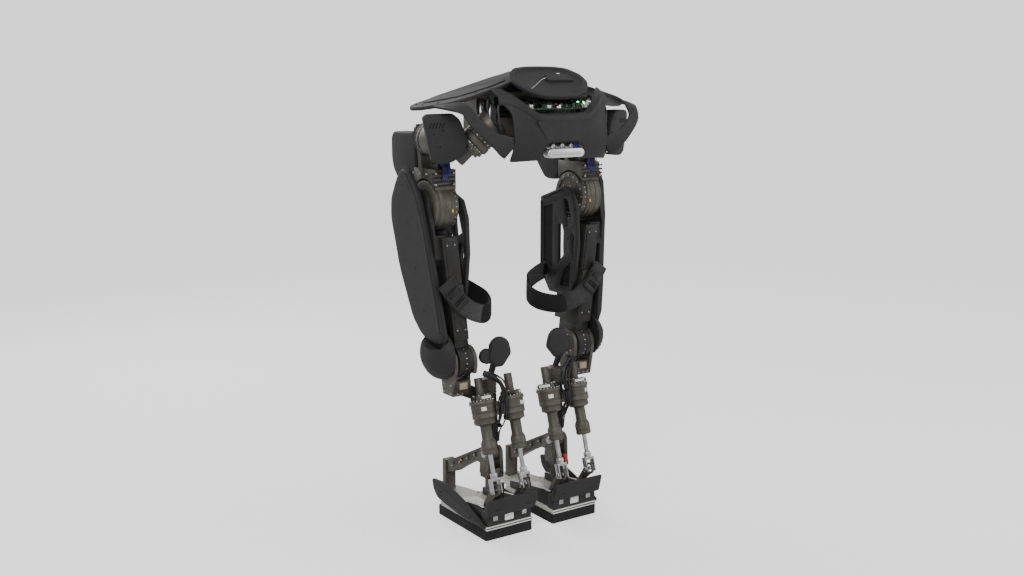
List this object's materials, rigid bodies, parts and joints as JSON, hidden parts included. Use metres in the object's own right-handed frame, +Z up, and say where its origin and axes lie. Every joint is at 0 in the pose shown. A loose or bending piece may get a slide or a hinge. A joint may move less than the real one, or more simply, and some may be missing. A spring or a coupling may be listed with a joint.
{
  "type": "humanoid robot lower-body kit",
  "caption": "Free-standing lower body of a humanoid robot: a pelvis pack with a hinged hatch, six-axis legs, thigh straps, ankle actuators and wide-soled feet.",
  "frame": {"origin": "on the floor, midway between the two soles", "axes": "+Z up, +X to the robot's left, the robot faces -Y"},
  "size_m": [0.687, 0.465, 1.3111],
  "materials": {
    "shell_plastic": "fine matte moulding",
    "anodised_alloy": "bronze-grey anodised, satin",
    "bright_steel": "turned and polished",
    "dark_metal": "dark satin coating",
    "rubber": "matte",
    "webbing": "woven webbing",
    "circuit_board": "solder mask with small parts",
    "cream_plate": "cream satin coating",
    "camera_body": "bead-blasted silver"
  },
  "bodies": {
    "pelvis": {"pelvis_frame": "anodised_alloy", "battery_pack": "dark_metal", "electronics_tray": "circuit_board", "rear_shell": "shell_plastic", "depth_camera": "camera_body", "wing_left": "shell_plastic", "wing_right": "shell_plastic", "left_hip_yaw_motor": "anodised_alloy", "right_hip_yaw_motor": "anodised_alloy"},
    "hatch": {"top_hatch": "shell_plastic"},
    "left_hip_arm": {"left_hip_roll_motor": "anodised_alloy", "left_hip_cover": "shell_plastic"},
    "left_hip": {"left_hip_yoke": "anodised_alloy", "left_hip_pitch_motor": "anodised_alloy", "left_hip_pod": "shell_plastic"},
    "left_thigh": {"left_thigh_frame": "dark_metal", "left_thigh_shell": "shell_plastic", "left_thigh_truss": "shell_plastic", "left_thigh_strap": "webbing", "left_knee_motor": "anodised_alloy", "left_knee_cover": "shell_plastic"},
    "left_shin": {"left_shin_frame": "anodised_alloy", "left_calf_cuff": "shell_plastic", "left_shin_harness": "rubber"},
    "left_ankle": {"left_ankle_arm": "anodised_alloy"},
    "left_foot": {"left_foot_plate": "cream_plate", "left_foot_sole": "rubber", "left_heel_box": "shell_plastic", "left_foot_cover": "shell_plastic"},
    "left_actuator_outer": {"left_ankle_actuator_outer": "anodised_alloy"},
    "left_rod_outer": {"left_actuator_rod_outer": "bright_steel"},
    "left_rod_end_outer": {"left_rod_end_outer": "bright_steel"},
    "left_actuator_inner": {"left_ankle_actuator_inner": "anodised_alloy"},
    "left_rod_inner": {"left_actuator_rod_inner": "bright_steel"},
    "left_rod_end_inner": {"left_rod_end_inner": "bright_steel"},
    "right_hip_arm": {"right_hip_roll_motor": "anodised_alloy", "right_hip_cover": "shell_plastic"},
    "right_hip": {"right_hip_yoke": "anodised_alloy", "right_hip_pitch_motor": "anodised_alloy", "right_hip_pod": "shell_plastic"},
    "right_thigh": {"right_thigh_frame": "dark_metal", "right_thigh_shell": "shell_plastic", "right_thigh_truss": "shell_plastic", "right_thigh_strap": "webbing", "right_knee_motor": "anodised_alloy", "right_knee_cover": "shell_plastic"},
    "right_shin": {"right_shin_frame": "anodised_alloy", "right_calf_cuff": "shell_plastic", "right_shin_harness": "rubber"},
    "right_ankle": {"right_ankle_arm": "anodised_alloy"},
    "right_foot": {"right_foot_plate": "cream_plate", "right_foot_sole": "rubber", "right_heel_box": "shell_plastic", "right_foot_cover": "shell_plastic"},
    "right_actuator_outer": {"right_ankle_actuator_outer": "anodised_alloy"},
    "right_rod_outer": {"right_actuator_rod_outer": "bright_steel"},
    "right_rod_end_outer": {"right_rod_end_outer": "bright_steel"},
    "right_actuator_inner": {"right_ankle_actuator_inner": "anodised_alloy"},
    "right_rod_inner": {"right_actuator_rod_inner": "bright_steel"},
    "right_rod_end_inner": {"right_rod_end_inner": "bright_steel"}
  },
  "joints": [
    {"name": "hatch_hinge", "type": "hinge", "parent": "pelvis", "child": "hatch", "pos_m": [0, 0.1, 1.312], "axis": [1, 0, 0], "range_deg": [0, 75]},
    {"name": "left_hip_yaw", "type": "hinge", "parent": "pelvis", "child": "left_hip_arm", "pos_m": [0.203, 0.084, 1.106], "axis": [-0.653, 0.2813, 0.7032], "range_deg": [-12, 6]},
    {"name": "left_hip_roll", "type": "hinge", "parent": "left_hip_arm", "child": "left_hip", "pos_m": [0.26, 0, 1.115], "axis": [0, 1, 0], "range_deg": [-20, 3]},
    {"name": "left_hip_pitch", "type": "hinge", "parent": "left_hip", "child": "left_thigh", "pos_m": [0.2475, -0.039, 0.935], "axis": [-1, 0, 0], "range_deg": [-15, 90]},
    {"name": "left_knee", "type": "hinge", "parent": "left_thigh", "child": "left_shin", "pos_m": [0.2065, 0.01, 0.5], "axis": [1, 0, 0], "range_deg": [0, 95]},
    {"name": "left_ankle_pitch", "type": "hinge", "parent": "left_shin", "child": "left_ankle", "pos_m": [0.115, 0.038, 0.22], "axis": [1, 0, 0], "range_deg": [-20, 20]},
    {"name": "left_ankle_roll", "type": "hinge", "parent": "left_ankle", "child": "left_foot", "pos_m": [0.115, 0, 0.12], "axis": [0, 1, 0], "range_deg": [-8, 8]},
    {"name": "left_actuator_tilt_outer", "type": "hinge", "parent": "left_shin", "child": "left_actuator_outer", "pos_m": [0.165, 0.072, 0.36], "axis": [1, 0, 0], "range_deg": [-10, 10]},
    {"name": "left_rod_slide_outer", "type": "slide", "parent": "left_actuator_outer", "child": "left_rod_outer", "axis": [0, 0.2932, -0.9561], "range_m": [-0.027, 0.027]},
    {"name": "left_rod_trim_outer", "type": "slide", "parent": "left_rod_outer", "child": "left_rod_end_outer", "axis": [0, 0.2932, -0.9561], "range_m": [-0.008, 0.008]},
    {"name": "left_actuator_tilt_inner", "type": "hinge", "parent": "left_shin", "child": "left_actuator_inner", "pos_m": [0.065, 0.072, 0.36], "axis": [1, 0, 0], "range_deg": [-10, 10]},
    {"name": "left_rod_slide_inner", "type": "slide", "parent": "left_actuator_inner", "child": "left_rod_inner", "axis": [0, 0.2932, -0.9561], "range_m": [-0.027, 0.027]},
    {"name": "left_rod_trim_inner", "type": "slide", "parent": "left_rod_inner", "child": "left_rod_end_inner", "axis": [0, 0.2932, -0.9561], "range_m": [-0.008, 0.008]},
    {"name": "right_hip_yaw", "type": "hinge", "parent": "pelvis", "child": "right_hip_arm", "pos_m": [-0.203, 0.084, 1.106], "axis": [0.653, 0.2813, 0.7032], "range_deg": [-6, 12]},
    {"name": "right_hip_roll", "type": "hinge", "parent": "right_hip_arm", "child": "right_hip", "pos_m": [-0.26, 0, 1.115], "axis": [0, 1, 0], "range_deg": [-3, 20]},
    {"name": "right_hip_pitch", "type": "hinge", "parent": "right_hip", "child": "right_thigh", "pos_m": [-0.2475, -0.039, 0.935], "axis": [-1, 0, 0], "range_deg": [-15, 90]},
    {"name": "right_knee", "type": "hinge", "parent": "right_thigh", "child": "right_shin", "pos_m": [-0.2065, 0.01, 0.5], "axis": [1, 0, 0], "range_deg": [0, 95]},
    {"name": "right_ankle_pitch", "type": "hinge", "parent": "right_shin", "child": "right_ankle", "pos_m": [-0.115, 0.038, 0.22], "axis": [1, 0, 0], "range_deg": [-20, 20]},
    {"name": "right_ankle_roll", "type": "hinge", "parent": "right_ankle", "child": "right_foot", "pos_m": [-0.115, 0, 0.12], "axis": [0, 1, 0], "range_deg": [-8, 8]},
    {"name": "right_actuator_tilt_outer", "type": "hinge", "parent": "right_shin", "child": "right_actuator_outer", "pos_m": [-0.165, 0.072, 0.36], "axis": [1, 0, 0], "range_deg": [-10, 10]},
    {"name": "right_rod_slide_outer", "type": "slide", "parent": "right_actuator_outer", "child": "right_rod_outer", "axis": [0, 0.2932, -0.9561], "range_m": [-0.027, 0.027]},
    {"name": "right_rod_trim_outer", "type": "slide", "parent": "right_rod_outer", "child": "right_rod_end_outer", "axis": [0, 0.2932, -0.9561], "range_m": [-0.008, 0.008]},
    {"name": "right_actuator_tilt_inner", "type": "hinge", "parent": "right_shin", "child": "right_actuator_inner", "pos_m": [-0.065, 0.072, 0.36], "axis": [1, 0, 0], "range_deg": [-10, 10]},
    {"name": "right_rod_slide_inner", "type": "slide", "parent": "right_actuator_inner", "child": "right_rod_inner", "axis": [0, 0.2932, -0.9561], "range_m": [-0.027, 0.027]},
    {"name": "right_rod_trim_inner", "type": "slide", "parent": "right_rod_inner", "child": "right_rod_end_inner", "axis": [0, 0.2932, -0.9561], "range_m": [-0.008, 0.008]}
  ],
  "couplings": [
    {"joint": "left_actuator_tilt_outer", "follows": "left_ankle_pitch", "ratio": 0.4404},
    {"joint": "left_rod_slide_outer", "follows": "left_ankle_pitch", "m_per_rad": -0.0733},
    {"joint": "left_rod_trim_outer", "follows": "left_ankle_roll", "m_per_rad": 0.0478},
    {"joint": "left_actuator_tilt_inner", "follows": "left_ankle_pitch", "ratio": 0.4404},
    {"joint": "left_rod_slide_inner", "follows": "left_ankle_pitch", "m_per_rad": -0.0733},
    {"joint": "left_rod_trim_inner", "follows": "left_ankle_roll", "m_per_rad": -0.0478},
    {"joint": "right_actuator_tilt_outer", "follows": "right_ankle_pitch", "ratio": 0.4404},
    {"joint": "right_rod_slide_outer", "follows": "right_ankle_pitch", "m_per_rad": -0.0733},
    {"joint": "right_rod_trim_outer", "follows": "right_ankle_roll", "m_per_rad": -0.0478},
    {"joint": "right_actuator_tilt_inner", "follows": "right_ankle_pitch", "ratio": 0.4404},
    {"joint": "right_rod_slide_inner", "follows": "right_ankle_pitch", "m_per_rad": -0.0733},
    {"joint": "right_rod_trim_inner", "follows": "right_ankle_roll", "m_per_rad": 0.0478}
  ]
}
